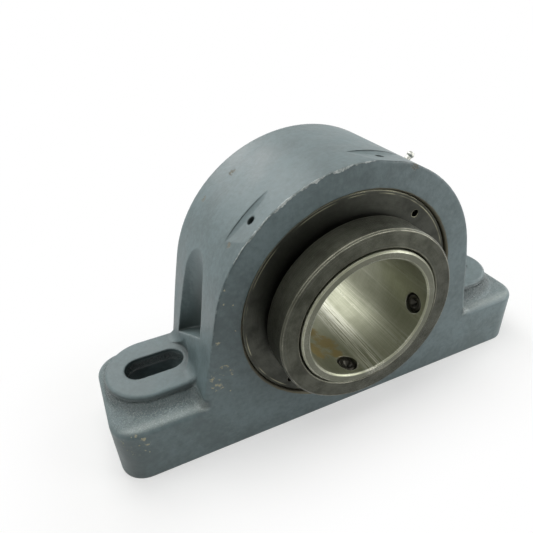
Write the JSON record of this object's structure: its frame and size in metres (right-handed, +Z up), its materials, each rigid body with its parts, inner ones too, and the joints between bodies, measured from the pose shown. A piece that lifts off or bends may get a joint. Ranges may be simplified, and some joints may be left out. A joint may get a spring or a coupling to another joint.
{
  "type": "pillow block bearing",
  "caption": "One-piece cast pillow block with a self-aligning double-row roller bearing, threaded end cover, shaft collar with set screws and two slotted bolt pads.",
  "frame": {"origin": "on the underside of the base, below the middle plane of the bearing", "axes": "+X along the base's length, +Y along the shaft from the collar end towards the rear, +Z up; the shaft's axis is at z = 107.95 mm"},
  "size_m": [0.3874, 0.124, 0.2189],
  "materials": {
    "paint": "slate grey enamel on a sand casting, chipped at the front edge",
    "cover_steel": "dark phosphated steel, turned face",
    "collar_steel": "dark oiled steel with bright worn edges",
    "ring_steel": "ground bearing steel, a light rust stain in the bore",
    "race_steel": "ground bearing steel",
    "screw_steel": "black oxide steel",
    "soft_plug": "natural nylon",
    "cage_steel": "pressed steel",
    "seal_steel": "pressed steel",
    "seal_rubber": "matt black nitrile rubber",
    "zinc": "zinc plated steel",
    "spring_steel": "spring steel"
  },
  "bodies": {
    "housing": {"housing": "paint", "threaded_cover": "cover_steel", "cover_lock_screws": "screw_steel", "lock_screw_plugs": "soft_plug", "outer_ring": "race_steel", "grease_fitting": "zinc"},
    "grease_check": {"grease_check_ball": "race_steel", "grease_check_spring": "spring_steel"},
    "aligning_set": {"guide_ring": "race_steel", "front_seal_ring": "seal_steel", "front_seal_lip": "seal_rubber", "rear_seal_ring": "seal_steel", "rear_seal_lip": "seal_rubber"},
    "shaft_unit": {"inner_ring": "ring_steel", "locking_collar": "collar_steel", "collar_set_screws": "screw_steel"},
    "roller_set": {"rollers_front": "race_steel", "rollers_rear": "race_steel", "cage_front": "cage_steel", "cage_rear": "cage_steel"}
  },
  "joints": [
    {"name": "self_align", "type": "hinge", "parent": "housing", "child": "aligning_set", "pos_m": [0, 0, 0.10795], "axis": [1, 0, 0], "range_deg": [-1.5, 1.5]},
    {"name": "shaft_spin", "type": "hinge", "parent": "aligning_set", "child": "shaft_unit", "pos_m": [0, 0, 0.10795], "axis": [0, 1, 0], "continuous": true},
    {"name": "cage_spin", "type": "hinge", "parent": "aligning_set", "child": "roller_set", "pos_m": [0, 0, 0.10795], "axis": [0, 1, 0], "continuous": true},
    {"name": "grease_check_slide", "type": "slide", "parent": "housing", "child": "grease_check", "axis": [-0.7254, 0, -0.6884], "range_m": [0, 0.0008], "stiffness_N_per_m": 400, "springref_m": -0.002}
  ],
  "couplings": [
    {"joint": "cage_spin", "follows": "shaft_spin", "ratio": 0.42766}
  ]
}
